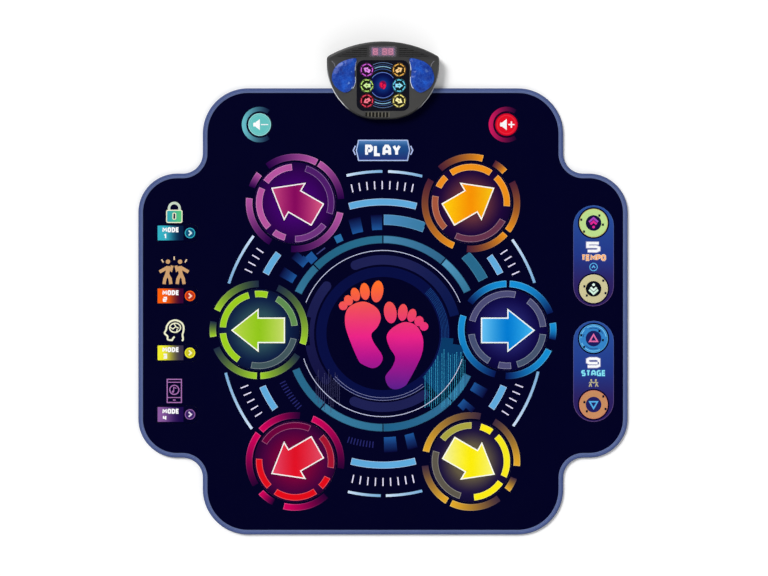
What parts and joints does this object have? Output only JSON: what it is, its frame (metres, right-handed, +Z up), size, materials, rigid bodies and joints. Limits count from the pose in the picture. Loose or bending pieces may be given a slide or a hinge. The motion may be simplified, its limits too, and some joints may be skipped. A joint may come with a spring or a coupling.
{
  "type": "electronic dance mat",
  "caption": "Cross-shaped padded dance mat with round arrow pads, small control pads along its edges, and a sloping battery console clamped to the rear edge.",
  "frame": {"origin": "on the floor, under the middle of the whole footprint of mat and console", "axes": "+X to the player's right, +Y from the player towards the console, +Z up"},
  "size_m": [0.93, 0.936, 0.0426],
  "materials": {
    "cover_cloth": "printed PVC-coated cloth, satin, deep navy",
    "printed_film": "printed patch of the cover over its film, satin",
    "binding_cloth": "woven grey-blue edge binding, matte",
    "base_cloth": "black non-slip base fabric with grip dots",
    "foam": "white closed-cell foam",
    "clear_film": "clear polyester film",
    "carbon_print": "printed carbon ink",
    "housing_plastic": "moulded dark grey ABS, fine texture",
    "trim_plastic": "bright silver-painted plastic",
    "panel_film": "glossy printed panel",
    "lens_blue": "clear blue moulded lens",
    "display_clear": "tinted clear display cover",
    "display_body": "display block",
    "white_plastic": "white reflector plastic",
    "black_plastic": "black moulded plastic",
    "circuit_board": "green circuit board",
    "led_epoxy": "clear epoxy lamps",
    "steel": "zinc-plated steel",
    "spring_steel": "nickel-plated spring steel",
    "cell_jacket": "plain cell jacket",
    "speaker_cone": "black paper cone",
    "rubber_black": "soft black rubber",
    "wire_jacket": "red insulated lead"
  },
  "bodies": {
    "mat": {"base_fabric": "base_cloth", "battery_cells": "cell_jacket", "battery_contacts": "spring_steel", "battery_springs": "spring_steel", "battery_wires": "wire_jacket", "board_chips": "black_plastic", "board_leds": "led_epoxy", "board_screws": "steel", "clamp_plate": "steel", "clamp_screws": "steel", "console_base": "housing_plastic", "console_top": "housing_plastic", "cushion_foam": "foam", "display_module": "display_body", "display_window": "display_clear", "edge_binding": "binding_cloth", "film_connector": "white_plastic", "film_tail": "clear_film", "housing_screws": "steel", "lamp_lens_left": "lens_blue", "lamp_lens_right": "lens_blue", "lamp_reflectors": "white_plastic", "light_shield": "black_plastic", "lower_contacts": "carbon_print", "lower_film": "clear_film", "main_board": "circuit_board", "panel_window": "panel_film", "power_switch_body": "black_plastic", "rubber_feet": "rubber_black", "spacer_foam": "foam", "speaker_cones": "speaker_cone", "speaker_frames": "steel", "speaker_magnets": "steel", "speaker_wires": "wire_jacket", "top_cover": "cover_cloth", "trim_ring": "trim_plastic", "upper_film": "clear_film"},
    "pad_arrow_up_left_body": {"pad_arrow_up_left": "printed_film"},
    "pad_arrow_up_right_body": {"pad_arrow_up_right": "printed_film"},
    "pad_arrow_left_body": {"pad_arrow_left": "printed_film"},
    "pad_arrow_right_body": {"pad_arrow_right": "printed_film"},
    "pad_arrow_down_left_body": {"pad_arrow_down_left": "printed_film"},
    "pad_arrow_down_right_body": {"pad_arrow_down_right": "printed_film"},
    "pad_volume_down_body": {"pad_volume_down": "printed_film"},
    "pad_volume_up_body": {"pad_volume_up": "printed_film"},
    "pad_speed_up_body": {"pad_speed_up": "printed_film"},
    "pad_speed_down_body": {"pad_speed_down": "printed_film"},
    "pad_level_up_body": {"pad_level_up": "printed_film"},
    "pad_level_down_body": {"pad_level_down": "printed_film"},
    "pad_mode_1_body": {"pad_mode_1": "printed_film"},
    "pad_mode_2_body": {"pad_mode_2": "printed_film"},
    "pad_mode_3_body": {"pad_mode_3": "printed_film"},
    "pad_mode_4_body": {"pad_mode_4": "printed_film"},
    "pad_start_body": {"pad_start": "printed_film"},
    "battery_door_body": {"battery_door": "housing_plastic", "door_screws": "steel"},
    "power_switch_knob_body": {"power_switch_knob": "black_plastic"}
  },
  "joints": [
    {"name": "arrow_up_left_press", "type": "slide", "parent": "mat", "child": "pad_arrow_up_left_body", "axis": [0, 0, -1], "range_m": [0, 0.0012], "stiffness_N_per_m": 5000, "springref_m": -0.001},
    {"name": "arrow_up_right_press", "type": "slide", "parent": "mat", "child": "pad_arrow_up_right_body", "axis": [0, 0, -1], "range_m": [0, 0.0012], "stiffness_N_per_m": 5000, "springref_m": -0.001},
    {"name": "arrow_left_press", "type": "slide", "parent": "mat", "child": "pad_arrow_left_body", "axis": [0, 0, -1], "range_m": [0, 0.0012], "stiffness_N_per_m": 5000, "springref_m": -0.001},
    {"name": "arrow_right_press", "type": "slide", "parent": "mat", "child": "pad_arrow_right_body", "axis": [0, 0, -1], "range_m": [0, 0.0012], "stiffness_N_per_m": 5000, "springref_m": -0.001},
    {"name": "arrow_down_left_press", "type": "slide", "parent": "mat", "child": "pad_arrow_down_left_body", "axis": [0, 0, -1], "range_m": [0, 0.0012], "stiffness_N_per_m": 5000, "springref_m": -0.001},
    {"name": "arrow_down_right_press", "type": "slide", "parent": "mat", "child": "pad_arrow_down_right_body", "axis": [0, 0, -1], "range_m": [0, 0.0012], "stiffness_N_per_m": 5000, "springref_m": -0.001},
    {"name": "volume_down_press", "type": "slide", "parent": "mat", "child": "pad_volume_down_body", "axis": [0, 0, -1], "range_m": [0, 0.0012], "stiffness_N_per_m": 3000, "springref_m": -0.001},
    {"name": "volume_up_press", "type": "slide", "parent": "mat", "child": "pad_volume_up_body", "axis": [0, 0, -1], "range_m": [0, 0.0012], "stiffness_N_per_m": 3000, "springref_m": -0.001},
    {"name": "speed_up_press", "type": "slide", "parent": "mat", "child": "pad_speed_up_body", "axis": [0, 0, -1], "range_m": [0, 0.0012], "stiffness_N_per_m": 3000, "springref_m": -0.001},
    {"name": "speed_down_press", "type": "slide", "parent": "mat", "child": "pad_speed_down_body", "axis": [0, 0, -1], "range_m": [0, 0.0012], "stiffness_N_per_m": 3000, "springref_m": -0.001},
    {"name": "level_up_press", "type": "slide", "parent": "mat", "child": "pad_level_up_body", "axis": [0, 0, -1], "range_m": [0, 0.0012], "stiffness_N_per_m": 3000, "springref_m": -0.001},
    {"name": "level_down_press", "type": "slide", "parent": "mat", "child": "pad_level_down_body", "axis": [0, 0, -1], "range_m": [0, 0.0012], "stiffness_N_per_m": 3000, "springref_m": -0.001},
    {"name": "mode_1_press", "type": "slide", "parent": "mat", "child": "pad_mode_1_body", "axis": [0, 0, -1], "range_m": [0, 0.0012], "stiffness_N_per_m": 3000, "springref_m": -0.001},
    {"name": "mode_2_press", "type": "slide", "parent": "mat", "child": "pad_mode_2_body", "axis": [0, 0, -1], "range_m": [0, 0.0012], "stiffness_N_per_m": 3000, "springref_m": -0.001},
    {"name": "mode_3_press", "type": "slide", "parent": "mat", "child": "pad_mode_3_body", "axis": [0, 0, -1], "range_m": [0, 0.0012], "stiffness_N_per_m": 3000, "springref_m": -0.001},
    {"name": "mode_4_press", "type": "slide", "parent": "mat", "child": "pad_mode_4_body", "axis": [0, 0, -1], "range_m": [0, 0.0012], "stiffness_N_per_m": 3000, "springref_m": -0.001},
    {"name": "start_press", "type": "slide", "parent": "mat", "child": "pad_start_body", "axis": [0, 0, -1], "range_m": [0, 0.0012], "stiffness_N_per_m": 3000, "springref_m": -0.001},
    {"name": "battery_door_pull", "type": "slide", "parent": "mat", "child": "battery_door_body", "axis": [0, 0, -1], "range_m": [0, 0.025]},
    {"name": "power_switch_slide", "type": "slide", "parent": "mat", "child": "power_switch_knob_body", "axis": [1, 0, 0], "range_m": [0, 0.004]}
  ]
}
